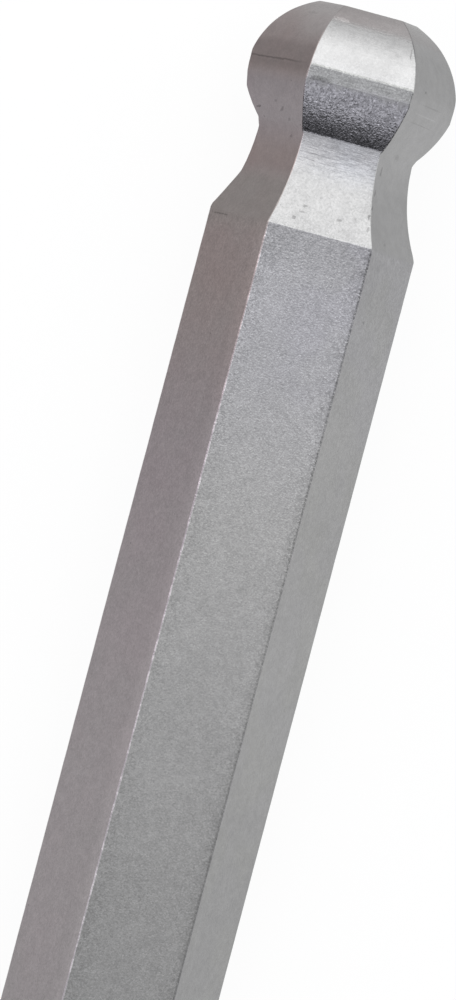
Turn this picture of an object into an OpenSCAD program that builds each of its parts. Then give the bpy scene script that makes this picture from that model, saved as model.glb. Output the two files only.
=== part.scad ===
// Hex key with a ball end, one piece of hexagonal steel bar.
// It lies flat: one flat of the bar is on the surface, the long arm runs along X with the
// ball at its +X end, and the short arm points along +Y. Lengths are in millimetres and
// angles in degrees. The origin is under the middle of the whole key.

/* [Bar] */
// Width across the flats
across_flats = 8; // [6:0.5:12]
// How far each corner of the bar is blunted below a sharp hexagon
corner_blunt = 0.04; // [0.02:0.01:0.15]
// Reach of the long arm, from the outside of the bend to the tip of the ball
long_reach = 160; // [80:1:250]
// Reach of the short arm, from the outside of the bend to its end
short_reach = 36; // [30:1:60]
// Radius of the bend along its inner corner
bend_inner_r = 8; // [4:0.5:12]

/* [Ball end] */
// How far the nose curve would swell beyond the flats at the middle of the ball
nose_swell = 0.05; // [0.01:0.01:0.3]
// Width across the flats of the flat tip
tip_flat = 4.1; // [2:0.1:5]
// Length of the flat that stands between the nose curve and the curve behind the ball
land = 0.95; // [0.2:0.05:1.5]
// Slope at which the curve behind the ball leaves that flat
back_slope = 14.5; // [12:0.5:30]
// Radius of the curve behind the ball
back_r = 5; // [2.5:0.1:8]
// Depth of the neck below the flats
neck_depth = 1; // [0.4:0.1:1.2]
// Length of the straight stretch of the neck
neck_len = 0.4; // [0.1:0.1:3]
// Radius of the curve that rises from the neck to the bar
shoulder_r = 7.3; // [3:0.1:12]

/* [Short end] */
// How far the turned chamfer on the short end cuts in below the flats
chamfer_depth = 0.4; // [0.1:0.1:1.5]
// Slope of that chamfer, measured from the arm's axis
chamfer_slope = 45; // [30:1:60]

/* [Hidden] */
$fn = 96;
steel = [0.6, 0.59, 0.59];
// How far a cut runs past what it trims
over = 1;

// The hexagonal section
half = across_flats / 2;
sharp_r = half / cos(30);
bar_r = sharp_r - corner_blunt;

// The bend, and the straight arms that it joins. Both reaches are measured over corners.
bend_r = bend_inner_r + bar_r;
bend_x = -long_reach / 2 + bar_r + bend_r;
bend_y = -short_reach / 2 + bar_r + bend_r;
long_straight = long_reach / 2 - bend_x;
short_straight = short_reach / 2 - bend_y;

// The ball end, along the long arm's axis from the middle of the nose curve
nose_r = half + nose_swell;
tip_x = sqrt(pow(nose_r, 2) - pow(tip_flat / 2, 2));
land_back = sqrt(pow(nose_r, 2) - pow(half, 2)) - land;
back_x = land_back + back_r * sin(back_slope);
back_y = half - back_r * cos(back_slope);
neck_y = half - neck_depth;
neck_front = back_x - sqrt(pow(back_r, 2) - pow(neck_y - back_y, 2));
neck_back = neck_front - neck_len;

// The round face that the chamfer leaves on the short end
end_face_r = half - chamfer_depth;

// Section of the drawn bar, with corners to the left and right and flats above and below
module bar_section() {
    intersection() {
        circle(r = sharp_r, $fn = 6);
        circle(r = bar_r);
    }
}

// What the milling takes off ahead of the ball, from the flat out to the tip
module nose_cut() {
    difference() {
        translate([0, tip_flat / 2 - over])
            square([tip_x + over, half - tip_flat / 2 + 2 * over]);
        circle(r = nose_r);
    }
}

// What it takes off behind the ball: the ball's back, the neck and the rise to the bar
module neck_cut() {
    difference() {
        translate([neck_back, neck_y]) square([back_x - neck_back, neck_depth + over]);
        translate([back_x, back_y]) circle(r = back_r);
    }
    intersection() {
        translate([neck_back, neck_y + shoulder_r]) circle(r = shoulder_r);
        translate([neck_back - shoulder_r, neck_y - over])
            square([shoulder_r, neck_depth + 2 * over]);
    }
}

// Straight part of the long arm, with the origin in the middle of the ball and the tip
// at +X. Each flat is milled straight across, so the ball keeps six sides.
module ball_arm() {
    difference() {
        translate([tip_x - long_straight, 0, 0])
            rotate([90, 0, 90]) linear_extrude(height = long_straight) bar_section();
        for (turn = [30 : 60 : 330])
            rotate([turn, 0, 0]) linear_extrude(height = 2 * across_flats, center = true) {
                nose_cut();
                neck_cut();
            }
    }
}

// Quarter turn of the bar from the short arm to the long arm, about the origin
module bend() {
    rotate([0, 0, 180])
        rotate_extrude(angle = 90) translate([bend_r, 0]) bar_section();
}

// Straight part of the short arm, which starts at the origin and points along +Y. The
// corners of its end are turned off by a cone.
module plain_arm() {
    rotate([-90, 0, 0])
        intersection() {
            linear_extrude(height = short_straight) bar_section();
            cylinder(
                h = short_straight,
                r1 = end_face_r + short_straight * tan(chamfer_slope),
                r2 = end_face_r
            );
        }
}

module hex_key() {
    color(steel) translate([bend_x, bend_y, half]) {
        bend();
        translate([long_straight - tip_x, -bend_r, 0]) ball_arm();
        translate([-bend_r, 0, 0]) plain_arm();
    }
}

hex_key();
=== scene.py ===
"""Looks of the hex key: bare, finely grained steel with a milled ball end, on a white floor.

The frame is the CAD's. Lengths here are in millimetres, and are scaled to metres where
they meet Blender. The long arm runs along X with its ball at the +X end, the short arm
points along +Y, and the key lies flat on the floor at z = 0.
"""
import math
from typing import NamedTuple

import bpy
import numpy as np
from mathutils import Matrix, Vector, noise


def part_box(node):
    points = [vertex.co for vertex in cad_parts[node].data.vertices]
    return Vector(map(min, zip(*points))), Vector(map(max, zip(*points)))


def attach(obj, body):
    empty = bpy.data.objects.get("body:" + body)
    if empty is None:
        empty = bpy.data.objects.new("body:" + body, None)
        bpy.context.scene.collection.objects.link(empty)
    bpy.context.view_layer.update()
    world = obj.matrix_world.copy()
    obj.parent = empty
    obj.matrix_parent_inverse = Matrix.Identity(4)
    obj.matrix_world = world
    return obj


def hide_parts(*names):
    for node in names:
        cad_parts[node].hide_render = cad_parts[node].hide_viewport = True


MM = 0.001

# Sizes of the key that its box doesn't give
CORNER_BLUNT = 0.04
BEND_INNER_R = 8.0
TIP_FLAT = 4.1
NOSE_SWELL = 0.05
CHAMFER = 0.4

# Small roundings of edges
BAR_FILLET = 0.03
TIP_ROUNDING = 0.2
CREASE_ROUNDING = 0.01
VALLEY_ROUNDING = 0.024
LEAST_BLUNT = 0.003
BAR_WEAR = 0.008
BALL_WEAR = 0.014
# The tip's face leans back above the axis, and the corners at its sides are knocked round
TIP_SLOPE = 0.036
KNOCKS = (0, 0, 0.27, 0, 0, 0.12)
KNOCK_REACH = 0.8

# Points on each flat, steps in each fillet and points on each blunted corner
FLAT_POINTS = 5
FILLET_STEPS = 3
CORNER_POINTS = 2

# Distances between sections on the ball end, on the part of the bar that the photo shows
# and on the rest, how far the first go behind the ball's middle, and how far from there
# the second go
BALL_STEP = 0.025
SEEN_STEP = 0.3
PLAIN_STEP = 2.0
BALL_SPAN = 8.0
SEEN_SPAN = 38.0
# Numbers of sections
BEND_SECTIONS = 36
TIP_SECTIONS = 4
CHAMFER_SECTIONS = 24
# Width of the narrow rim that the turned chamfer leaves on the short end's face
END_RIM = 0.03

# A profile is rounded in this many steps to one rounding, over this many roundings each way
ROUNDING_STEPS = 5
ROUNDING_REACH = 4
# Turns of a fillet's points where its flat lies outside the circle of the blunted corner
OUTSIDE_TURN = 0.04
OUTSIDE_STEP = 0.01
# Turn of the normal away from its flat's at which a point counts as on the edge
EDGE_TURN = math.radians(24)
# Wear along a corner, from 0 to 1: its middle, and waves with their number on a millimetre,
# their size, and how far from corner to corner and where in the noise they are taken
MEAN_WEAR = 0.5
WEAR_WAVES = ((1.3, 0.6, 5.0, 0.5), (4.1, 0.4, 7.0, 3.5))


class Cut(NamedTuple):
    """How one flat was milled, which differs a little from flat to flat.

    Slopes are in degrees. The taper is a slope on the land, and soft is how round the edge
    to the bar is. Where the ramp isn't 0, the last stretch up to the bar is straight, at
    that slope.
    """
    nose_swell: float
    nose_shift: float
    land: float
    taper: float
    back_slope: float
    back_r: float
    neck_depth: float
    neck_len: float
    shoulder_r: float
    soft: float
    ramp: float = 0


# The six flats, by the direction each faces, in degrees from the inside of the bend
FLATS = (30, 90, 150, 210, 270, 330)
TOP_FLAT = FLATS.index(90)
INNER = Cut(
    nose_swell=0.003, nose_shift=0, land=0.355, taper=0, back_slope=13.3, back_r=6.2,
    neck_depth=1.0, neck_len=0.02, shoulder_r=8.54, soft=0.03,
)
TOP = Cut(
    nose_swell=0.049, nose_shift=0.17, land=0.57, taper=0, back_slope=11.7, back_r=5.4,
    neck_depth=1.0, neck_len=0.02, shoulder_r=9.11, soft=0.014,
)
OUTER = Cut(
    nose_swell=0.01, nose_shift=0.04, land=0.314, taper=2.2, back_slope=13, back_r=6.6,
    neck_depth=1.045, neck_len=0.0, shoulder_r=8.45, soft=0.1,
)
OUTER_BELOW = Cut(
    nose_swell=0.09, nose_shift=-0.01, land=0.935, taper=2.2, back_slope=12, back_r=5.2,
    neck_depth=0.95, neck_len=0.0, shoulder_r=9.1, soft=0.13,
)
BOTTOM = Cut(
    nose_swell=0.045, nose_shift=0, land=0.8, taper=0, back_slope=13, back_r=5.2,
    neck_depth=1.0, neck_len=0.2, shoulder_r=8.4, soft=0.03,
)
INNER_BELOW = Cut(
    nose_swell=0.05, nose_shift=-0.07, land=1.261, taper=6, back_slope=28, back_r=8.0,
    neck_depth=1.01, neck_len=0.46, shoulder_r=11.0, soft=0.03, ramp=27,
)
CUTS = (INNER, TOP, OUTER, OUTER_BELOW, BOTTOM, INNER_BELOW)
# Places ahead of the ball's middle: where the tapers start, where the ramp meets the bar,
# and where the valley's and the shoulder's own roundings take over behind the ball
TAPER_START = 0.8
RAMP_TOP = -6.11
VALLEY_ZONE = -1.0
SHOULDER_ZONE = -4.5

# Flats that get painted shade and a painted brown reflection, flats that stand at a slant,
# and how bright or dark the corner after each flat is: 1 for a painted highlight and -1 for
# painted shade
SHADED_SIDE = (1, 0, 0, 0, 0, 1)
SLANTED = (1, 0, 1, 1, 0, 1)
EDGES = (1, -1, 0, -1, 1, 0)
# How far each corner of the bar is blunted
BLUNTS = (0.02, 0.028, 0.04, 0.028, 0.02, 0.052)


class Key(NamedTuple):
    """Places and sizes that follow from the key's box."""
    low: Vector
    high: Vector
    half: float
    bar_r: float
    bend_r: float
    bend_x: float
    bend_y: float
    ball_x: float
    tip: float


class Section(NamedTuple):
    """One section of the bar, with the six flats' distances from the axis and tilts.

    The run is the way from the tip along the bar. Where turned is set, it is the tilt of
    the corners, which are turned off there.
    """
    run: float
    apothems: np.ndarray
    tilts: np.ndarray
    blunt_r: float
    turned: float | None = None


class Point(NamedTuple):
    """One point of the skin.

    The lean is its normal's tilt towards the tip. The edge is 0 on the flat and goes to 1
    at an edge with a painted highlight and to -1 at one with painted shade.
    """
    spot: np.ndarray
    normal: np.ndarray
    lean: float
    flat: int
    edge: float


def measure():
    """Reads the key's box and works out its main places."""
    low, high = (Vector(corner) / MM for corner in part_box("hex_key"))
    half = (high.z - low.z) / 2
    bar_r = half / math.cos(math.radians(30)) - CORNER_BLUNT
    bend_r = BEND_INNER_R + bar_r
    tip = math.sqrt((half + NOSE_SWELL) ** 2 - (TIP_FLAT / 2) ** 2)
    return Key(
        low=low,
        high=high,
        half=half,
        bar_r=bar_r,
        bend_r=bend_r,
        bend_x=low.x + bar_r + bend_r,
        bend_y=low.y + bar_r + bend_r,
        ball_x=high.x - tip,
        tip=tip,
    )


def milled(key, cut, x):
    """Distance of a milled flat from the axis, at x from the middle of the ball."""
    nose_r = key.half + cut.nose_swell
    ahead = np.clip(x + cut.nose_shift, 0, nose_r)
    nose = np.sqrt(nose_r**2 - ahead**2)
    taper = key.half - math.tan(math.radians(cut.taper)) * np.maximum(TAPER_START - x, 0)
    slope = math.radians(cut.back_slope)
    land_back = math.sqrt(nose_r**2 - key.half**2) - cut.nose_shift - cut.land
    back_x = land_back + cut.back_r * math.sin(slope)
    back_y = key.half - cut.back_r * math.cos(slope)
    neck_y = key.half - cut.neck_depth
    neck_front = back_x - math.sqrt(cut.back_r**2 - (neck_y - back_y) ** 2)
    neck_back = neck_front - cut.neck_len
    behind = np.clip(back_x - x, 0, cut.back_r)
    back = back_y + np.sqrt(cut.back_r**2 - behind**2)
    past = np.clip(neck_back - x, 0, cut.shoulder_r)
    shoulder = neck_y + cut.shoulder_r - np.sqrt(cut.shoulder_r**2 - past**2)
    if cut.ramp:
        straight = key.half - math.tan(math.radians(cut.ramp)) * (x - RAMP_TOP)
        shoulder = np.maximum(shoulder, straight)
    hollow = np.where(x > neck_front, np.minimum(back, taper), shoulder)
    return np.minimum(key.half, np.minimum(nose, hollow))


def rounded(curve, step, rounding):
    """The curve with its corners rounded, by a weighted mean over each point's surroundings."""
    reach = ROUNDING_REACH * rounding
    spread = np.exp(-0.5 * (np.arange(-reach, reach + step, step) / rounding) ** 2)
    return np.convolve(curve, spread / spread.sum(), mode="same")


def profile(key, cut, stations):
    """Distances from the axis and tilts of one flat, with its creases slightly rounded."""
    step = CREASE_ROUNDING / ROUNDING_STEPS
    margin = 2 * ROUNDING_REACH * max(VALLEY_ROUNDING, cut.soft)
    x = np.arange(stations.min() - margin, stations.max() + margin, step)
    curve = milled(key, cut, x)
    crisp = rounded(curve, step, CREASE_ROUNDING)
    valley = rounded(curve, step, VALLEY_ROUNDING)
    soft = rounded(curve, step, cut.soft)
    away = np.where(x < SHOULDER_ZONE, soft, np.where(x < VALLEY_ZONE, valley, crisp))
    slope = np.gradient(away, step)
    return (
        np.interp(stations, x, away),
        -np.arctan(np.interp(stations, x, slope)),
    )


def ball_sections(key):
    """Sections of the ball end, from the flat tip back to the plain bar."""
    rim = key.tip - TIP_ROUNDING
    nose_r = key.half + NOSE_SWELL
    start = rim / (1 - TIP_ROUNDING / nose_r)
    count = math.ceil((start + BALL_SPAN) / BALL_STEP)
    stations = np.linspace(start, -BALL_SPAN, count)
    curves = [profile(key, cut, stations) for cut in CUTS]
    apothems = np.array([curve[0] for curve in curves])
    tilts = np.array([curve[1] for curve in curves])
    inner = apothems[:, 0] - TIP_ROUNDING * np.cos(tilts[:, 0])
    sections = []
    for turn in np.linspace(math.pi / 2, tilts[:, 0].mean(), TIP_SECTIONS + 1)[:-1]:
        away = inner + TIP_ROUNDING * math.cos(turn)
        x = rim + TIP_ROUNDING * math.sin(turn)
        sections.append(Section(key.tip - x, away, np.full(6, turn), key.bar_r))
    for i, x in enumerate(stations):
        sections.append(Section(key.tip - x, apothems[:, i], tilts[:, i], key.bar_r))
    return sections


def plain_sections(key):
    """Sections of the rest of the long arm, the bend and the short arm."""
    long_end = key.high.x - key.bend_x
    bend_end = long_end + key.bend_r * math.pi / 2
    total = bend_end + key.high.y - key.bend_y
    start = key.tip + BALL_SPAN
    seen = np.arange(start + SEEN_STEP, start + SEEN_SPAN, SEEN_STEP)
    arm = np.arange(start + SEEN_SPAN, long_end - PLAIN_STEP / 2, PLAIN_STEP)
    bend = np.linspace(long_end, bend_end, BEND_SECTIONS)
    chamfer_end = total - (key.bar_r - key.half + CHAMFER)
    short = np.arange(bend_end + PLAIN_STEP, chamfer_end - PLAIN_STEP / 2, PLAIN_STEP)
    flat = np.full(6, key.half)
    level = np.zeros(6)
    runs = np.concatenate([seen, arm, bend, short])
    sections = [Section(run, flat, level, key.bar_r) for run in runs]
    for cone_r in np.linspace(key.bar_r, key.half - CHAMFER, CHAMFER_SECTIONS):
        run = total - (cone_r - key.half + CHAMFER)
        sections.append(Section(run, flat, level, cone_r, -math.pi / 4))
    rim_r = key.half - CHAMFER - END_RIM
    sections.append(Section(total, flat, level, rim_r, -math.pi / 2))
    return sections


def along(key, run):
    """Place on the axis, the direction into the bend and the direction to the tip."""
    long_end = key.high.x - key.bend_x
    bend_end = long_end + key.bend_r * math.pi / 2
    turn = min(max(run - long_end, 0), bend_end - long_end) / key.bend_r
    inward = np.array([math.sin(turn), math.cos(turn), 0.0])
    to_tip = np.array([math.cos(turn), -math.sin(turn), 0.0])
    place = np.array([key.bend_x, key.bend_y, key.half]) - key.bend_r * inward
    straight = max(long_end - run, 0) - max(run - bend_end, 0)
    return place + straight * to_tip, inward, to_tip


def half_flat(apothem, tilt, blunt_r, corner_tilt):
    """Points from the end of a flat through the fillet to the blunted corner.

    Each has its distance along the flat's direction, its distance to the side, the turn
    of its normal and that normal's tilt.
    """
    reach = blunt_r - BAR_FILLET
    share = (apothem - BAR_FILLET) / reach
    points = []
    if share >= 1:
        for i in range(FILLET_STEPS + 1):
            turn = OUTSIDE_TURN + OUTSIDE_STEP * i
            points.append(
                (blunt_r * math.cos(turn), blunt_r * math.sin(turn), turn, corner_tilt)
            )
        return points
    full = math.acos(share)
    for i in range(FILLET_STEPS + 1):
        turn = full * i / FILLET_STEPS
        points.append((
            reach * math.cos(full) + BAR_FILLET * math.cos(turn),
            reach * math.sin(full) + BAR_FILLET * math.sin(turn),
            turn,
            tilt + (corner_tilt - tilt) * i / FILLET_STEPS,
        ))
    return points


def worn(section, k):
    """Radius to which the corner after flat k is worn, which varies a little."""
    first = section.apothems[k] - BAR_FILLET
    second = section.apothems[(k + 1) % 6] - BAR_FILLET
    across = (second - first * math.cos(math.pi / 3)) / math.sin(math.pi / 3)
    sharp = math.hypot(first, across) + BAR_FILLET
    sharp -= KNOCKS[k] * max(0, 1 - section.run / KNOCK_REACH) ** 2
    wear = MEAN_WEAR
    for per_mm, size, apart, start in WEAR_WAVES:
        wear += size * noise.noise(Vector((section.run * per_mm, apart * k, start)))
    wear = min(max(wear, 0), 1)
    blunt_r = section.blunt_r + CORNER_BLUNT - BLUNTS[k]
    return min(blunt_r - BAR_WEAR * wear, sharp - LEAST_BLUNT - BALL_WEAR * wear)


def trimmed(key, spot, normal):
    """Brings a point back to the tip's face, where it stands ahead of it."""
    limit = key.high.x - TIP_SLOPE * max(spot[2] - key.half, 0)
    if spot[0] < limit:
        return spot, normal
    face = np.array([1.0, 0.0, TIP_SLOPE if spot[2] > key.half else 0.0])
    return np.array([limit, spot[1], spot[2]]), face / np.linalg.norm(face)


def inner_shares(count):
    """Shares that divide a stretch evenly, without its ends."""
    return np.linspace(0, 1, count + 2)[1:-1]


def outline(section, radii, k):
    """Points of flat k and of the corner after it, as half_flat gives them."""
    apothem, tilt = section.apothems[k], section.tilts[k]
    ends = []
    for radius, other in ((radii[k - 1], k - 1), (radii[k], (k + 1) % 6)):
        between = (tilt + section.tilts[other]) / 2
        corner_tilt = section.turned if section.turned is not None else between
        ends.append(half_flat(apothem, tilt, radius, corner_tilt))
    before = [(far, -wide, -turn, lean) for far, wide, turn, lean in reversed(ends[0])]
    after = ends[1]
    flat = []
    for share in inner_shares(FLAT_POINTS):
        flat.append(tuple(
            (1 - share) * a + share * b for a, b in zip(before[-1], after[0])
        ))
    next_end = half_flat(section.apothems[(k + 1) % 6], 0.0, radii[k], 0.0)[-1]
    first = math.atan2(after[-1][1], after[-1][0])
    last = math.pi / 3 - math.atan2(next_end[1], next_end[0])
    corner = []
    for share in inner_shares(CORNER_POINTS):
        turn = first + (last - first) * share
        corner.append(
            (radii[k] * math.cos(turn), radii[k] * math.sin(turn), turn, after[-1][3])
        )
    return before + flat + after + corner


def ring(key, section):
    """Points round one section, each with its normal, lean, flat and nearness to an edge."""
    place, inward, to_tip = along(key, section.run)
    up = np.array([0.0, 0.0, 1.0])
    radii = [worn(section, k) for k in range(6)]
    points = []
    for k, facing in enumerate(FLATS):
        angle = math.radians(facing)
        out = math.cos(angle) * inward + math.sin(angle) * up
        side = -math.sin(angle) * inward + math.cos(angle) * up
        for far, wide, turn, lean in outline(section, radii, k):
            level = math.cos(turn) * out + math.sin(turn) * side
            normal = math.cos(lean) * level + math.sin(lean) * to_tip
            spot, normal = trimmed(key, place + far * out + wide * side, normal)
            edge = EDGES[k if turn > 0 else k - 1] * min(abs(turn) / EDGE_TURN, 1)
            points.append(Point(spot, normal, lean, k, edge))
    return points


def build_key(key):
    """Makes the whole key as one closed skin."""
    sections = ball_sections(key) + plain_sections(key)
    rings = [ring(key, section) for section in sections]
    size = len(rings[0])
    points = [point for ring_points in rings for point in ring_points]
    faces = []
    for i in range(len(rings) - 1):
        here, there = i * size, (i + 1) * size
        for j in range(size):
            after = (j + 1) % size
            faces.append((here + j, there + j, there + after, here + after))
    for run, start, flip in (
        (sections[0].run, 0, False),
        (sections[-1].run, (len(rings) - 1) * size, True),
    ):
        place, _, to_tip = along(key, run)
        points.append(Point(place, -to_tip if flip else to_tip, 0.0, TOP_FLAT, 0.0))
        middle = len(points) - 1
        for j in range(size):
            pair = (start + j, start + (j + 1) % size)
            faces.append((middle, *(reversed(pair) if flip else pair)))
    mesh = bpy.data.meshes.new("key")
    mesh.from_pydata([Vector(point.spot) * MM for point in points], [], faces)
    mesh.shade_smooth()
    mesh.normals_split_custom_set_from_vertices([tuple(point.normal) for point in points])
    for name, values in (
        ("lean", [point.lean for point in points]),
        # Flats on the side that gets painted shade and a painted brown reflection
        ("shaded_side", [SHADED_SIDE[point.flat] for point in points]),
        ("slanted", [SLANTED[point.flat] for point in points]),
        ("edge", [point.edge for point in points]),
    ):
        attribute = mesh.attributes.new(name, "FLOAT", "POINT")
        attribute.data.foreach_set("value", values)
    piece = bpy.data.objects.new("key_body", mesh)
    bpy.context.collection.objects.link(piece)
    return piece


# Camera, fitted to the photograph
LENS = 230.0
DISTANCE = 275.98
AIM = (58.136, -12.837, 4.0)
LEAN_TO_TIP = -0.110
LEAN_TO_SIDE = 4.848
ROLL = -14.826


def place_camera():
    """Looks almost straight down at the ball end, with the bar turned in the picture."""
    data = bpy.data.cameras.new("camera")
    data.lens = LENS
    camera = bpy.data.objects.new("camera", data)
    bpy.context.collection.objects.link(camera)
    lean = (math.tan(math.radians(LEAN_TO_TIP)), math.tan(math.radians(LEAN_TO_SIDE)), 1)
    back = Vector(lean).normalized()
    right = (-back).cross(Vector((1, 0, 0))).normalized()
    up = right.cross(-back)
    roll = math.radians(ROLL)
    turned_right = math.cos(roll) * right - math.sin(roll) * up
    turned_up = math.sin(roll) * right + math.cos(roll) * up
    matrix = camera.matrix_world.copy()
    for column, axis in enumerate((turned_right, turned_up, back)):
        for row in range(3):
            matrix[row][column] = axis[row]
    matrix.translation = (Vector(AIM) + DISTANCE * back) * MM
    camera.matrix_world = matrix
    bpy.context.scene.camera = camera


class Nodes:
    """Short calls for making and joining shader nodes."""

    def __init__(self, tree):
        self.tree = tree
        self.tree.nodes.clear()

    def add(self, kind, settings=None, **inputs):
        """A new node, with its settings, and its inputs given by name."""
        node = self.tree.nodes.new(kind)
        for name, value in (settings or {}).items():
            setattr(node, name, value)
        for name, value in inputs.items():
            self.put(node.inputs[name.replace("_", " ")], value)
        return node

    def put(self, socket, value):
        """Links the value to an input, or sets it there where it is a plain one."""
        if isinstance(value, bpy.types.NodeSocket):
            self.tree.links.new(value, socket)
        else:
            socket.default_value = value

    def math(self, operation, first, second=0.0, third=0.0):
        node = self.add("ShaderNodeMath", {"operation": operation})
        for socket, value in zip(node.inputs, (first, second, third)):
            self.put(socket, value)
        return node.outputs[0]

    def total(self, first, *others):
        """The sum of several values."""
        for other in others:
            first = self.math("ADD", first, other)
        return first

    def times(self, first, *others):
        """The product of several values."""
        for other in others:
            first = self.math("MULTIPLY", first, other)
        return first

    def rest(self, value):
        """What the value lacks to 1."""
        return self.math("SUBTRACT", 1.0, value)

    def ramp(self, value, *stops):
        """Maps a value to grey levels given as (position, level) pairs."""
        node = self.add("ShaderNodeValToRGB", Fac=value)
        elements = node.color_ramp.elements
        while len(elements) < len(stops):
            elements.new(0.5)
        for element, (position, level) in zip(elements, stops):
            element.position = position
            element.color = (level, level, level, 1)
        return node.outputs["Color"]

    def span(self, value, low, high, start=0.0, end=1.0, smooth=True):
        """Maps the range from low to high smoothly to the range from start to end."""
        node = self.add(
            "ShaderNodeMapRange",
            {"interpolation_type": "SMOOTHSTEP" if smooth else "LINEAR"},
            Value=value, From_Min=low, From_Max=high, To_Min=start, To_Max=end,
        )
        return node.outputs["Result"]

    def until(self, value, low, high):
        """1 below the range from low to high, and 0 above it."""
        return self.span(value, low, high, 1.0, 0.0)

    def swing(self, pattern, size, part):
        """A value from -size to size that follows the given part of a noise's range."""
        return self.span(pattern, *part, -size, size)

    def noise(self, place, scale, detail=2.0, roughness=0.5):
        node = self.add(
            "ShaderNodeTexNoise", Vector=place, Scale=scale, Detail=detail,
            Roughness=roughness,
        )
        return node.outputs["Fac"]

    def stretched(self, place, x, y, z):
        """The place times x, y and z."""
        node = self.add("ShaderNodeVectorMath", {"operation": "MULTIPLY"})
        self.put(node.inputs[0], place)
        self.put(node.inputs[1], (x, y, z))
        return node.outputs["Vector"]

    def mixed(self, share, first, second):
        """Two colours mixed. The node has others of these sockets, for plain values."""
        node = self.add("ShaderNodeMix", {"data_type": "RGBA", "clamp_factor": False})
        self.put(node.inputs[0], share)
        self.put(node.inputs[6], first)
        self.put(node.inputs[7], second)
        return node.outputs[2]


STEEL = (0.318, 0.318, 0.319)
# What the steel reflects at a glancing angle, as a share of what clean metal does
GLANCING = (0.81, 0.81, 0.81, 1)
GRAIN_DEPTH = 0.012
# Roughness over the grain's range
ROUGHNESS = (0.3, 0.7, 0.16, 0.24)

# What the painted brown reflection on the shaded flats leaves of each colour: mostly,
# behind the ball and along the bar, at the neck's end, and far along the bar
BROWN = (0.72, 0.61, 0.60, 1)
MAUVE = (0.72, 0.645, 0.67, 1)
OLIVE = (0.665, 0.592, 0.572, 1)
PINK = (0.79, 0.675, 0.715, 1)
# Slight tints of the steel, over which the painted brown reflection is mixed: far along the
# bar, in patches on it, on the neck's front, on the land and on the ball's back
WARM = (1.0, 0.998, 0.95, 1)
BLUE = (0.996, 0.993, 1.012, 1)
AZURE = (0.975, 0.995, 1.03, 1)
GREEN = (0.965, 0.975, 0.95, 1)
VIOLET = (0.992, 0.985, 1.03, 1)
WHITE = (1, 1, 1, 1)

# Noises, by how many of their waves go on a millimetre
GRAIN_SCALE = 13.0
STREAK_SCALE = (11.0, 1.3, 1.3)
SCORE_SCALE = (14.0, 2.2, 2.2)
RAGGED_SCALE = 9.0
CLOUD_SCALE = 2.2
PATCH_SCALE = 0.35
MOTTLE_SCALE = 0.3
COARSE_SALT = 12.5
FINE_SALT = 22.0
FINE_SALT_SHARE = 0.7
# Specks: cells on a millimetre, about how large the radius is, and the share of cells that
# hold one
LARGE_PITS = (0.9, 0.06, 0.2)
SMALL_PITS = (2.3, 0.035, 0.14)
# Painted glints: bright specks on the ball's back
GLINT_SPECKS = (4.4, 0.05, 0.4)
# Least size of a speck, as a share of that radius, and its soft edge, in shares of its size
SPECK_LEAST = 0.3
SPECK_EDGE = (0.5, 1.1)
# Parts of a noise's range, of which one is stretched to a full swing
WIDE = (0.3, 0.7)
NARROW = (0.35, 0.65)

# Where each zone starts or ends, in millimetres behind the ball's middle, from the first
# trace of the change to its end
TIP_ENDS = (-3.08, -2.55)
WARM_TIP_ENDS = (-2.85, -2.45)
NOSE_STARTS = (-2.4, -1.8)
NOSE_ENDS = (-0.6, -0.5)
NOSE_EDGE_ENDS = (-0.545, -0.52)
LAND_STARTS = (-0.56, -0.52)
LAND_ENDS = (0.02, 0.1)
NECK_STARTS = (2.2, 2.4)
NECK_FRONT_ENDS = (2.9, 4.6)
NECK_MIDDLE_ENDS = (4.4, 5.4)
NECK_END_STARTS = (5.0, 6.0)
BAR_STARTS = (6.3, 6.6)
BACK_STARTS = (-0.8, 0.4)
SHADED_BACK_ENDS = (0.3, 1.4)
SHADE_STARTS = (-1.55, -1.1)
SHADE_ENDS = (-0.35, 0.25)
# The back of the ball is where the top flat leans away by more than this, in radians
BACK_LEANS = (-0.26, -0.16)
# The rims of the bar, by the distance from the arm's middle
RIM_STARTS = (1.3, 2.3)
# How far the clouds shift the edges of the ball's back, in radians, and of the land
BACK_WAVE = 0.05
LAND_WAVE = 0.1

# How the grain and the ripples fade along the bar
BAR_FADE = (7.0, 30.0, 1.0, 0.5)
RIPPLE_FADE = (6.7, 11.0, 0.45, 0.0)
# Height of the grain in each zone, and depth of the pits
GRAIN_HEIGHTS = (("bar", 0.9), ("milled", 0.4), ("back", 1.2))
PIT_DEPTH = 0.6
# Tone of the grain everywhere and what each zone adds to it
GRAIN_TONE = 0.05
GRAIN_TONES = (("back", 0.3), ("bar", 0.09), ("rim", 0.08), ("land", 0.1), ("neck_top", 0.03))
SLANTED_CALM = 0.6
# Painted glints in the bright specks on the ball's back
GLINT_SPECK_TONE = 0.75
LAND_TONE = -0.03
MOTTLE_TONE = 0.03
CLOUD_TONE = 0.045
FLECK_TONE = 0.035
PIT_TONE = 0.22
SHADED_SIDE_PIT_TONE = 0.2
SCORE_TONES = (*NARROW, -0.13, 0.12)
# Painted shade on the tip's rounded rim
TIP_RIM_SHADE = (-3.25, -3.0, -0.13, 0.0)


class Touch(NamedTuple):
    """A change of painted light or shade in one zone between two places, along the arm or across
    it.
    """
    zone: str
    axis: str
    low: float
    high: float
    start: float
    end: float
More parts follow.
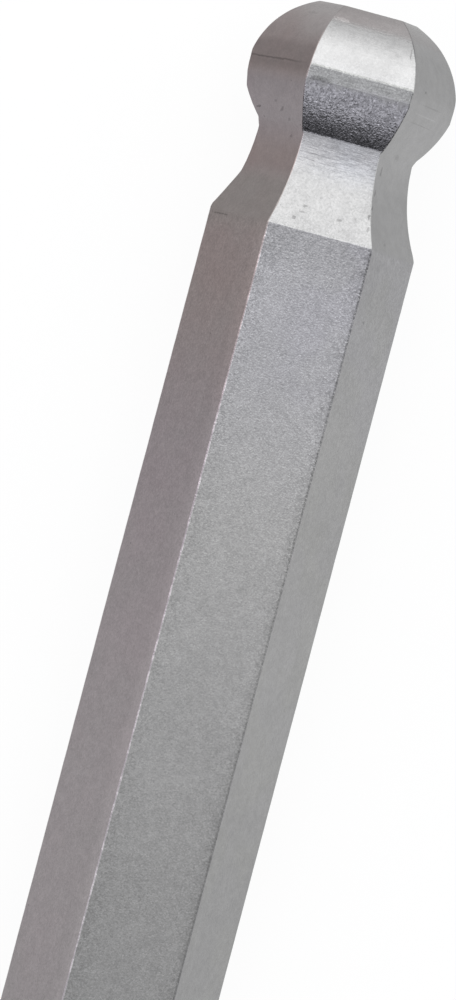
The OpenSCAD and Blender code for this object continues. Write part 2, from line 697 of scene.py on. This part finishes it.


# Painted light and shade on the top flat: a nose that is brighter at its sides and its edge,
# a neck that is darker towards the bar, and a bar that is brightest a little way along and
# darker at its sides
TOP_PAINTED_LIGHT = (
    Touch("neck", "behind", 3.8, 4.6, 0.0, -0.04),
    Touch("unmilled", "behind", 6.6, 9.5, -0.02, 0.13),
    Touch("unmilled", "behind", 18.0, 40.0, 0.0, -0.2),
    Touch("unmilled", "across", -2.25, -1.8, -0.12, 0.0),
    Touch("unmilled", "across", 1.2, 2.2, 0.0, -0.05),
    Touch("nose", "across", 0.6, 1.4, 0.0, 0.06),
    Touch("nose", "across", -1.9, -0.9, 0.07, 0.0),
    Touch("nose_edge", "behind", -1.0, -0.54, 0.0, 0.12),
    Touch("neck", "behind", 4.4, 5.2, 0.0, -0.045),
    Touch("neck", "across", 0.9, 1.6, 0.0, 0.05),
    Touch("neck_middle", "across", -1.9, -1.1, -0.06, 0.0),
    Touch("neck_end", "across", -1.9, -1.1, 0.07, 0.0),
    Touch("back", "behind", 1.2, 1.7, 0.0, -0.08),
)
# Painted light on the top flat at the tip
TIP_PAINTED_LIGHT = 0.27
# Painted light and shade on the slanted flats: brighter behind the ball, and the outer ones
# darker far along the bar. The shaded ones have a lighter nose and a darker middle of the ball.
SLANTED_PAINTED_LIGHT = (
    Touch("slanted_back", "behind", 1.8, 4.6, 0.1, 0.0),
    Touch("outer_slant", "behind", 8.0, 11.0, 0.0, 0.045),
    Touch("outer_slant", "behind", 26.0, 38.0, 0.0, -0.09),
    Touch("shaded_back", "behind", -0.55, -0.3, 0.0, -0.1),
    Touch("shaded_slant", "behind", -2.6, -1.5, 0.11, 0.0),
)
# Painted shade of an outer slanted flat for each radian that it leans towards the tip
FACING_TIP_SHADE = -0.2

# Edges: painted glints by the clouds, and painted highlight and shade along the arm
GLINT_TONES = (0.48, 0.6, 0.04, 0.45)
BRIGHT_NECK_EDGE = 0.12
DARK_NECK_EDGE = -0.16
DARK_BAR_EDGE = (6.0, 30.0, -0.38, -0.06)
DARK_BALL_EDGE = (1.9, 2.4, -0.3, 0.0)

# Single marks: distance behind the ball's middle, distance from the axis towards the short
# arm, half length along the arm, half width across it, and how dark the mark is
MARKS = (
    (-2.83, 2.55, 0.06, 0.16, 0.15),
    (-1.81, -1.29, 0.08, 0.13, 0.14),
    (-2.05, -1.83, 0.25, 0.04, 0.3),
    (-0.64, -2.92, 0.06, 0.07, 0.25),
    (0.06, 1.75, 0.12, 0.42, 0.4),
    (1.62, 3.70, 0.05, 0.09, 0.5),
    (1.58, 2.82, 0.09, 0.06, 0.3),
    (5.42, 0.92, 0.06, 0.11, 0.3),
    (5.69, 0.96, 0.04, 0.2, 0.14),
    (6.01, 1.30, 0.07, 0.1, 0.32),
    (5.63, -0.65, 0.07, 0.1, 0.3),
    (5.43, -1.30, 0.06, 0.08, 0.2),
    (5.2, -1.86, 0.2, 0.05, 0.35),
    (5.75, -1.94, 0.15, 0.06, 0.3),
    (6.53, 4.15, 0.03, 0.28, 0.35),
    (9.57, -2.82, 0.07, 0.07, 0.3),
    (13.6, -1.97, 0.07, 0.06, 0.25),
    (-0.1, -3.4, 0.03, 0.5, 0.16),
    (0.35, -3.3, 0.03, 0.6, -0.12),
    (0.75, -3.1, 0.03, 0.7, 0.13),
    (1.95, 2.42, 0.08, 0.05, 0.2),
    (1.3, 3.15, 0.05, 0.05, 0.22),
    (2.6, 2.15, 0.06, 0.06, 0.22),
    (2.3, -2.55, 0.12, 0.09, 0.16),
    (3.1, -1.95, 0.2, 0.04, 0.3),
    (4.1, -1.9, 0.16, 0.035, 0.3),
    (4.75, -1.92, 0.1, 0.04, 0.35),
    (4.9, 0.3, 0.05, 0.08, 0.16),
    (4.4, -0.9, 0.05, 0.07, 0.14),
    (6.1, -2.9, 0.07, 0.06, 0.16),
    (7.0, 4.0, 0.05, 0.05, -0.18),
)
# A painted highlight at the nose's corner, given in the same way
GLINT = (-2.72, 1.36, 0.09, 0.34, -0.4)
# Where a mark fades, by the square of the distance in shares of its size, and how much
# noise is added to that
MARK_EDGE = (0.3, 1.4)
RAGGEDNESS = 0.6

# The shaded flats: painted shade on the nose and in the crease that ends it, and the bar's
# painted lit rim
NOSE_SHADE = 0.2
CREASE = -0.5
CREASE_WANDER = 0.02
CREASE_WIDTH = (0.01, 0.06)
CREASE_TONES = (2.3, 3.2, 0.02, 0.3)
LIT_RIM_TONES = (2.35, 2.8, -0.12, 0.0)

# How much of the painted brown reflection shows: along the arm, by the mottle, at the tip
# and on the nose's inner half, where it is paler, and behind the ball, where it is stronger
REFLECTION_FADE = (10.0, 34.0, 1.0, 0.6)
REFLECTION_MOTTLE = (0.25, 0.75, 0.9, 1.1)
REFLECTION_AT_TIP = -0.1
REFLECTION_ON_NOSE = -0.3
PALE_NOSE_ENDS = (-2.2, -1.2)
PALE_ACROSS = (2.4, 3.4)
NECK_REFLECTION_STARTS = (1.9, 2.3)
NECK_REFLECTION_FADE = (3.9, 4.4, 0.14, 0.0)
# A trace of it on the other flats at the tip, which grows towards the shaded ones
TIP_TRACE = (-3.2, 1.0, 0.3, 0.5)

# Where the painted reflection's colours and the tints of the steel give way to one another
MAUVE_NECK_STARTS = (-0.2, 0.6)
MAUVE_NECK_ENDS = (1.8, 3.6)
MAUVE_BAR_STARTS = (9.0, 18.0)
PINK_STARTS = (9.0, 26.0)
OLIVE_STARTS = (4.2, 4.8)
OLIVE_ENDS = (6.2, 7.4)
WARM_STARTS = (10.0, 20.0)
SLANTED_WARM_LOSS = 0.7
BLUE_PATCHES = (0.42, 0.56)
BLUE_ACROSS = (-0.6, 1.6, 1.0, 0.2)
AZURE_PATCHES = (0.35, 0.6)


class Spot(NamedTuple):
    """Sockets that say where a point of the key is, in millimetres and radians."""
    place: object
    behind: object
    across: object
    lean: object
    shaded_side: object
    slanted: object
    edge: object


class Look(NamedTuple):
    """Sockets of the noises that pattern the steel."""
    grain: object
    streaks: object
    scores: object
    ragged: object
    cloud: object
    patches: object
    mottle: object
    speckle: object
    pits: object
    glint_specks: object


class Zones(NamedTuple):
    """Sockets that are 1 on one part of the key and 0 away from it."""
    top: object
    milled: object
    unmilled: object
    bar: object
    rim: object
    tip: object
    warm_tip: object
    nose: object
    nose_edge: object
    land: object
    back: object
    neck: object
    neck_top: object
    neck_front: object
    neck_middle: object
    neck_end: object
    outer_slant: object
    slanted_back: object
    shaded_slant: object
    shaded_back: object


def locate(n, key):
    """Sockets for the place along and across the long arm, and for the flat's own values."""
    coords = n.add("ShaderNodeTexCoord")
    place = n.stretched(coords.outputs["Object"], 1 / MM, 1 / MM, 1 / MM)
    parts = n.add("ShaderNodeSeparateXYZ", Vector=place)
    own = [
        n.add("ShaderNodeAttribute", {"attribute_name": name}).outputs["Fac"]
        for name in ("lean", "shaded_side", "slanted", "edge")
    ]
    return Spot(
        place,
        n.math("SUBTRACT", key.ball_x, parts.outputs["X"]),
        n.math("SUBTRACT", parts.outputs["Y"], key.low.y + key.bar_r),
        *own,
    )


def specks(n, place, per_mm, radius, share):
    """Specks of about the given radius in the given share of the cells."""
    cells = n.add("ShaderNodeTexVoronoi", Vector=place, Scale=per_mm, Randomness=1.0)
    pick = n.add("ShaderNodeSeparateColor", Color=cells.outputs["Color"])
    chosen = n.math("LESS_THAN", pick.outputs["Red"], share)
    size = n.times(n.math("ADD", pick.outputs["Green"], SPECK_LEAST), radius * per_mm)
    inside = n.until(n.math("DIVIDE", cells.outputs["Distance"], size), *SPECK_EDGE)
    return n.times(inside, chosen)


def salt(n, place, per_mm):
    """A random level from -1 to 1 for each small cell."""
    cells = n.add("ShaderNodeTexVoronoi", Vector=place, Scale=per_mm, Randomness=1.0)
    pick = n.add("ShaderNodeSeparateColor", Color=cells.outputs["Color"])
    return n.math("MULTIPLY_ADD", pick.outputs["Red"], 2.0, -1.0)


def patterns(n, place):
    """The noises, by their places in millimetres."""
    fine_salt = n.times(salt(n, place, FINE_SALT), FINE_SALT_SHARE)
    large_pits = specks(n, place, *LARGE_PITS)
    small_pits = specks(n, place, *SMALL_PITS)
    return Look(
        grain=n.noise(place, GRAIN_SCALE, detail=1.0, roughness=0.6),
        streaks=n.noise(n.stretched(place, *STREAK_SCALE), 1.0, detail=2.0),
        scores=n.noise(n.stretched(place, *SCORE_SCALE), 1.0, detail=3.0),
        ragged=n.noise(place, RAGGED_SCALE, detail=2.0),
        cloud=n.noise(place, CLOUD_SCALE, detail=4.0, roughness=0.6),
        patches=n.noise(place, PATCH_SCALE, detail=1.0),
        mottle=n.noise(place, MOTTLE_SCALE, detail=3.0, roughness=0.55),
        speckle=n.total(salt(n, place, COARSE_SALT), fine_salt),
        pits=n.math("MAXIMUM", large_pits, small_pits),
        glint_specks=specks(n, place, *GLINT_SPECKS),
    )


def find_zones(n, spot, look):
    """Works out the zones of the ball end and of the bar."""
    behind = spot.behind
    wavy_lean = n.total(spot.lean, n.swing(look.cloud, BACK_WAVE, NARROW))
    wavy = n.total(behind, n.swing(look.cloud, LAND_WAVE, WIDE))
    top = n.rest(spot.slanted)
    milled = n.until(behind, *BAR_STARTS)
    unmilled = n.rest(milled)
    bar = n.times(n.span(behind, *BAR_FADE), unmilled)
    neck = n.times(milled, n.span(behind, *NECK_STARTS))
    neck_top = n.times(neck, top)
    shaded_slant = n.times(spot.slanted, spot.shaded_side)
    return Zones(
        top=top,
        milled=milled,
        unmilled=unmilled,
        bar=bar,
        rim=n.times(n.span(n.math("ABSOLUTE", spot.across), *RIM_STARTS), bar),
        tip=n.until(behind, *TIP_ENDS),
        warm_tip=n.until(behind, *WARM_TIP_ENDS),
        nose=n.times(n.span(behind, *NOSE_STARTS), n.until(behind, *NOSE_ENDS)),
        nose_edge=n.until(behind, *NOSE_EDGE_ENDS),
        land=n.times(top, n.span(behind, *LAND_STARTS), n.until(wavy, *LAND_ENDS)),
        back=n.times(top, n.until(wavy_lean, *BACK_LEANS)),
        neck=neck,
        neck_top=neck_top,
        neck_front=n.times(neck_top, n.until(behind, *NECK_FRONT_ENDS)),
        neck_middle=n.times(neck, n.until(behind, *NECK_MIDDLE_ENDS)),
        neck_end=n.times(neck, n.span(behind, *NECK_END_STARTS)),
        outer_slant=n.times(spot.slanted, n.rest(spot.shaded_side)),
        slanted_back=n.times(spot.slanted, n.span(behind, *BACK_STARTS)),
        shaded_slant=shaded_slant,
        shaded_back=n.times(shaded_slant, n.until(behind, *SHADED_BACK_ENDS)),
    )


def by_zone(n, zones, shares):
    """The sum of several zones, each times its share."""
    return n.total(*[n.times(getattr(zones, zone), share) for zone, share in shares])


def touched(n, spot, zones, touches):
    """The sum of several changes of painted light or shade."""
    tones = []
    for touch in touches:
        place = getattr(spot, touch.axis)
        tone = n.span(place, touch.low, touch.high, touch.start, touch.end)
        tones.append(n.times(getattr(zones, touch.zone), tone))
    return n.total(*tones)


def grain_height(n, spot, look, zones):
    """Height of the grain, of the ripples at the bar's start and of the pits."""
    grain = n.times(n.math("SUBTRACT", look.grain, 0.5), by_zone(n, zones, GRAIN_HEIGHTS))
    ripples = n.times(look.streaks, n.span(spot.behind, *RIPPLE_FADE))
    return n.total(grain, ripples, n.times(look.pits, -PIT_DEPTH))


def grain_tone(n, spot, look, zones):
    """Tone of the grain, the scores, the pits and the flecks, around 1, with painted glints on
    the ball's back and painted shade on the tip's rim.
    """
    amount = n.total(GRAIN_TONE, by_zone(n, zones, GRAIN_TONES))
    calm = n.rest(n.times(spot.slanted, SLANTED_CALM))
    level = n.total(
        1.0,
        n.times(look.speckle, amount, calm),
        # Painted glints on the ball's back
        n.times(look.glint_specks, zones.back, GLINT_SPECK_TONE),
        n.times(zones.land, LAND_TONE),
        n.times(zones.neck_front, n.span(look.scores, *SCORE_TONES)),
        n.swing(look.mottle, MOTTLE_TONE, WIDE),
        n.swing(look.cloud, CLOUD_TONE, WIDE),
        # Painted shade on the tip's rounded rim
        n.span(spot.behind, *TIP_RIM_SHADE),
    )
    pit_tone = n.total(PIT_TONE, n.times(spot.shaded_side, SHADED_SIDE_PIT_TONE))
    level = n.times(level, n.rest(n.times(look.pits, pit_tone)))
    return n.total(level, n.times(spot.shaded_side, n.swing(look.ragged, FLECK_TONE, NARROW)))


def painted_flat_light(n, spot, zones):
    """How much painted light or shade makes each flat brighter or darker than its grain."""
    top_painted_light = n.total(
        n.times(zones.warm_tip, TIP_PAINTED_LIGHT), touched(n, spot, zones, TOP_PAINTED_LIGHT)
    )
    # Painted shade on outer slanted flats by how far they lean towards the tip
    facing_tip = n.times(n.math("MAXIMUM", spot.lean, 0.0), zones.outer_slant, FACING_TIP_SHADE)
    slanted_painted_light = touched(n, spot, zones, SLANTED_PAINTED_LIGHT)
    return n.total(n.times(zones.top, top_painted_light), facing_tip, slanted_painted_light)


def edge_tone(n, spot, look, zones):
    """Edges: a painted highlight with glints on one side of the top flat, painted shade on the
    other.
    """
    bright = n.total(
        n.times(n.span(look.cloud, *GLINT_TONES), zones.unmilled),
        n.times(zones.neck, BRIGHT_NECK_EDGE),
    )
    dark = n.total(
        n.span(spot.behind, *DARK_BALL_EDGE),
        n.times(zones.unmilled, n.span(spot.behind, *DARK_BAR_EDGE)),
        n.times(zones.neck, DARK_NECK_EDGE),
    )
    bright_side = n.math("MAXIMUM", spot.edge, 0.0)
    dark_side = n.math("MAXIMUM", n.times(spot.edge, -1.0), 0.0)
    return n.total(n.times(bright_side, bright), n.times(dark_side, dark))


def mark(n, spot, ragged, values):
    """One soft spot with a ragged outline, as strong as its last value says."""
    behind, across, half_length, half_width, strength = values
    along = n.math("DIVIDE", n.math("SUBTRACT", spot.behind, behind), half_length)
    aside = n.math("DIVIDE", n.math("SUBTRACT", spot.across, across), half_width)
    away = n.total(n.times(along, along), n.times(aside, aside), ragged)
    return n.span(away, *MARK_EDGE, strength, 0.0)


def marks(n, spot, look):
    """How much all the marks darken a point, with the painted highlight at the nose's corner
    among them.
    """
    ragged = n.swing(look.ragged, RAGGEDNESS, WIDE)
    return n.total(*[mark(n, spot, ragged, values) for values in (*MARKS, GLINT)])


def painted_side_shade(n, spot, look, zones):
    """How much painted shade darkens the shaded flats on the nose and in the crease across it,
    less the painted light on the bar's rim.
    """
    shaded = n.times(n.span(spot.behind, *SHADE_STARTS), n.until(spot.behind, *SHADE_ENDS))
    wander = n.swing(look.cloud, CREASE_WANDER, WIDE)
    from_crease = n.math("ABSOLUTE", n.total(spot.behind, -CREASE, wander))
    crease = n.times(n.until(from_crease, *CREASE_WIDTH), n.span(spot.across, *CREASE_TONES))
    lit_rim = n.times(zones.unmilled, n.span(spot.across, *LIT_RIM_TONES))
    return n.times(spot.shaded_side, n.total(n.times(shaded, NOSE_SHADE), crease, lit_rim))


def brown_reflection_share(n, spot, look, zones):
    """How much of the painted brown reflection's colour shows."""
    behind = spot.behind
    share = n.times(n.span(behind, *REFLECTION_FADE), n.span(look.mottle, *REFLECTION_MOTTLE))
    pale_nose = n.times(n.until(behind, *PALE_NOSE_ENDS), n.until(spot.across, *PALE_ACROSS))
    # More painted brown reflection behind the ball, at the neck
    neck_reflection = n.times(n.span(behind, *NECK_REFLECTION_STARTS), n.span(behind, *NECK_REFLECTION_FADE))
    share = n.total(
        share, n.times(zones.tip, REFLECTION_AT_TIP), n.times(pale_nose, REFLECTION_ON_NOSE), neck_reflection
    )
    trace = n.times(zones.warm_tip, n.rest(spot.shaded_side), n.span(spot.across, *TIP_TRACE))
    return n.total(n.times(spot.shaded_side, share), trace)


def brown_reflection_colour(n, spot):
    """Colour of the painted brown reflection along the arm."""
    behind = spot.behind
    mauve = n.math(
        "MAXIMUM", n.span(behind, *MAUVE_BAR_STARTS), n.until(behind, *MAUVE_NECK_ENDS)
    )
    mauve = n.times(mauve, n.span(behind, *MAUVE_NECK_STARTS))
    olive = n.times(n.span(behind, *OLIVE_STARTS), n.until(behind, *OLIVE_ENDS))
    colour = n.mixed(mauve, BROWN, MAUVE)
    colour = n.mixed(n.span(behind, *PINK_STARTS), colour, PINK)
    return n.mixed(olive, colour, OLIVE)


def steel_tints(n, spot, look, zones):
    """Slight tints of the steel, over which the painted brown reflection is mixed."""
    blue = n.times(zones.unmilled, n.span(look.patches, *BLUE_PATCHES))
    blue = n.times(blue, n.span(spot.across, *BLUE_ACROSS))
    azure = n.times(zones.neck_front, n.span(look.mottle, *AZURE_PATCHES))
    upright = n.rest(n.times(spot.slanted, SLANTED_WARM_LOSS))
    warm = n.times(n.span(spot.behind, *WARM_STARTS), upright)
    colour = n.mixed(blue, WHITE, BLUE)
    colour = n.mixed(zones.back, colour, VIOLET)
    colour = n.mixed(azure, colour, AZURE)
    colour = n.mixed(zones.land, colour, GREEN)
    return n.mixed(warm, colour, WARM)


def steel(key):
    """Bare steel with a fine grain, which is coarsest behind the ball and fades along the bar."""
    material = bpy.data.materials.new("steel")
    material.use_nodes = True
    n = Nodes(material.node_tree)
    spot = locate(n, key)
    look = patterns(n, spot.place)
    zones = find_zones(n, spot, look)
    level = n.total(
        grain_tone(n, spot, look, zones),
        painted_flat_light(n, spot, zones),
        edge_tone(n, spot, look, zones),
    )
    level = n.math("SUBTRACT", level, marks(n, spot, look))
    # Painted shade, less painted light on the rim, on the shaded flats
    level = n.times(level, n.rest(painted_side_shade(n, spot, look, zones)))
    plain_tint = steel_tints(n, spot, look, zones)
    # The painted brown reflection mixed over the steel's tints
    tint = n.mixed(brown_reflection_share(n, spot, look, zones), plain_tint, brown_reflection_colour(n, spot))
    colour = n.add("ShaderNodeVectorMath", {"operation": "MULTIPLY"})
    n.put(colour.inputs[0], tint)
    n.put(colour.inputs[1], STEEL)
    scale = n.add("ShaderNodeVectorMath", {"operation": "SCALE"})
    n.put(scale.inputs[0], colour.outputs["Vector"])
    n.put(scale.inputs["Scale"], level)
    bump = n.add(
        "ShaderNodeBump",
        Height=grain_height(n, spot, look, zones),
        Strength=1.0,
        Distance=GRAIN_DEPTH * MM,
    )
    shader = n.add(
        "ShaderNodeBsdfPrincipled",
        Base_Color=scale.outputs["Vector"],
        Metallic=1.0,
        Roughness=n.span(look.grain, *ROUGHNESS),
        Normal=bump.outputs["Normal"],
        Specular_Tint=GLANCING,
    )
    output = n.add("ShaderNodeOutputMaterial")
    n.tree.links.new(shader.outputs["BSDF"], output.inputs["Surface"])
    return material


# The floor, in metres: half its width, and the fibres of its paper on a metre
FLOOR_REACH = 0.8
FIBRE_SCALE = 900.0
PAPER_DARK = (0.86, 0.86, 0.86, 1)
PAPER_LIGHT = (0.9, 0.9, 0.9, 1)
PAPER_ROUGHNESS = 0.9
# Brightness of the floor's own glow, and the share of it that the camera sees
FLOOR_LEVEL = 0.99
FLOOR_OWN = 0.94


def seen_directly(n):
    """1 for rays from the camera, and for those that come by way of metal or glass."""
    path = n.add("ShaderNodeLightPath")
    seen = n.math(
        "MAXIMUM", path.outputs["Is Camera Ray"], path.outputs["Is Glossy Ray"]
    )
    return n.math("MAXIMUM", seen, path.outputs["Is Transmission Ray"])


def floor():
    """White paper floor that keeps a faint shadow of the key."""
    mesh = bpy.data.meshes.new("floor")
    signs = ((-1, -1), (1, -1), (1, 1), (-1, 1))
    corners = [(x * FLOOR_REACH, y * FLOOR_REACH, 0) for x, y in signs]
    mesh.from_pydata(corners, [], [(0, 1, 2, 3)])
    piece = bpy.data.objects.new("floor", mesh)
    bpy.context.collection.objects.link(piece)
    material = bpy.data.materials.new("floor")
    material.use_nodes = True
    n = Nodes(material.node_tree)
    coords = n.add("ShaderNodeTexCoord")
    fibre = n.noise(coords.outputs["Object"], FIBRE_SCALE, detail=3.0)
    matt = n.add(
        "ShaderNodeBsdfPrincipled",
        Base_Color=n.mixed(fibre, PAPER_DARK, PAPER_LIGHT),
        Roughness=PAPER_ROUGHNESS,
    )
    own = n.add("ShaderNodeEmission", Color=WHITE, Strength=FLOOR_LEVEL)
    share = n.times(seen_directly(n), FLOOR_OWN)
    mix = n.add("ShaderNodeMixShader")
    n.put(mix.inputs[0], share)
    n.put(mix.inputs[1], matt.outputs["BSDF"])
    n.put(mix.inputs[2], own.outputs["Emission"])
    output = n.add("ShaderNodeOutputMaterial")
    n.tree.links.new(mix.outputs["Shader"], output.inputs["Surface"])
    mesh.materials.append(material)
    return piece


# The brightness that a ramp's white stands for, and that of the studio by the angle from
# straight up towards the ball end
STUDIO_TOP = 3.0
STUDIO = (
    (-90, 0.13), (-59, 0.13), (-54, 0.24), (-50, 0.5), (-44, 0.92), (-38, 1.05), (-30, 1.05),
    (-24, 0.92), (-8, 0.78), (-4, 0.8), (-2, 0.98), (0, 1.17), (2, 1.15), (4, 1.04),
    (7, 1.22), (12, 1.63), (16, 1.9), (21, 2.18), (27, 2.3), (35, 2.42), (43, 2.58),
    (50, 2.46), (59, 2.24), (68, 1.98), (78, 1.58), (90, 1.5),
)
# What white stands for in the second ramp, and how bright each side is beside the middle,
# by the angle from straight up towards +Y
SIDES_TOP = 2.0
SIDES = ((-90, 0.75), (-30, 0.85), (-10, 0.97), (0, 1.0), (14, 1.1), (40, 1.5), (90, 1.0))
# Range of angles over which the panel beyond the ball end takes over from the sides
PANEL = (math.radians(8), math.radians(28))
# Colour of the light away from that panel
COOL = (0.985, 0.985, 1.04, 1)
# Least rise of a ray for which angles are worked out
LEAST_RISE = 0.0001


def by_angle(n, angle, stops, top):
    """Brightness from stops given as (degrees from -90 to 90, level) pairs."""
    share = n.span(angle, -math.pi / 2, math.pi / 2, smooth=False)
    level = n.ramp(share, *[((at + 90) / 180, value / top) for at, value in stops])
    return n.times(level, top)


def light_world():
    """Soft studio: a wide bright panel beyond the ball end, and a dark far end."""
    world = bpy.data.worlds.new("studio")
    bpy.context.scene.world = world
    world.use_nodes = True
    n = Nodes(world.node_tree)
    coords = n.add("ShaderNodeTexCoord")
    ray = n.add("ShaderNodeSeparateXYZ", Vector=coords.outputs["Generated"])
    upward = n.math("MAXIMUM", ray.outputs["Z"], LEAST_RISE)
    to_tip = n.math("ARCTAN2", ray.outputs["X"], upward)
    to_side = n.math("ARCTAN2", ray.outputs["Y"], upward)
    panel = n.span(to_tip, *PANEL)
    sides = by_angle(n, to_side, SIDES, SIDES_TOP)
    sides = n.total(sides, n.times(panel, n.rest(sides)))
    strength = n.times(by_angle(n, to_tip, STUDIO, STUDIO_TOP), sides)
    seen = n.add("ShaderNodeLightPath").outputs["Is Camera Ray"]
    lit = n.times(strength, n.rest(seen))
    colour = n.mixed(n.math("MAXIMUM", panel, seen), COOL, WHITE)
    back = n.add("ShaderNodeBackground", Color=colour, Strength=n.total(lit, seen))
    output = n.add("ShaderNodeOutputWorld")
    n.tree.links.new(back.outputs["Background"], output.inputs["Surface"])


def build():
    scene = bpy.context.scene
    scene.view_settings.view_transform = "Standard"
    key = measure()
    piece = build_key(key)
    piece.data.materials.append(steel(key))
    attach(piece, "root")
    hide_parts("hex_key")
    floor()
    light_world()
    place_camera()


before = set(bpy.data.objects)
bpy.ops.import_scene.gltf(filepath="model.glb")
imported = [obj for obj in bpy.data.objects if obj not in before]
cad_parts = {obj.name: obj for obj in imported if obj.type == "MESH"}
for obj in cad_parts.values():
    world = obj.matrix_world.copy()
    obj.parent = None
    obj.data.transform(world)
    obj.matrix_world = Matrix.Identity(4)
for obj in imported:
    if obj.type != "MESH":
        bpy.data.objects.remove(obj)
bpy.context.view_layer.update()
build()
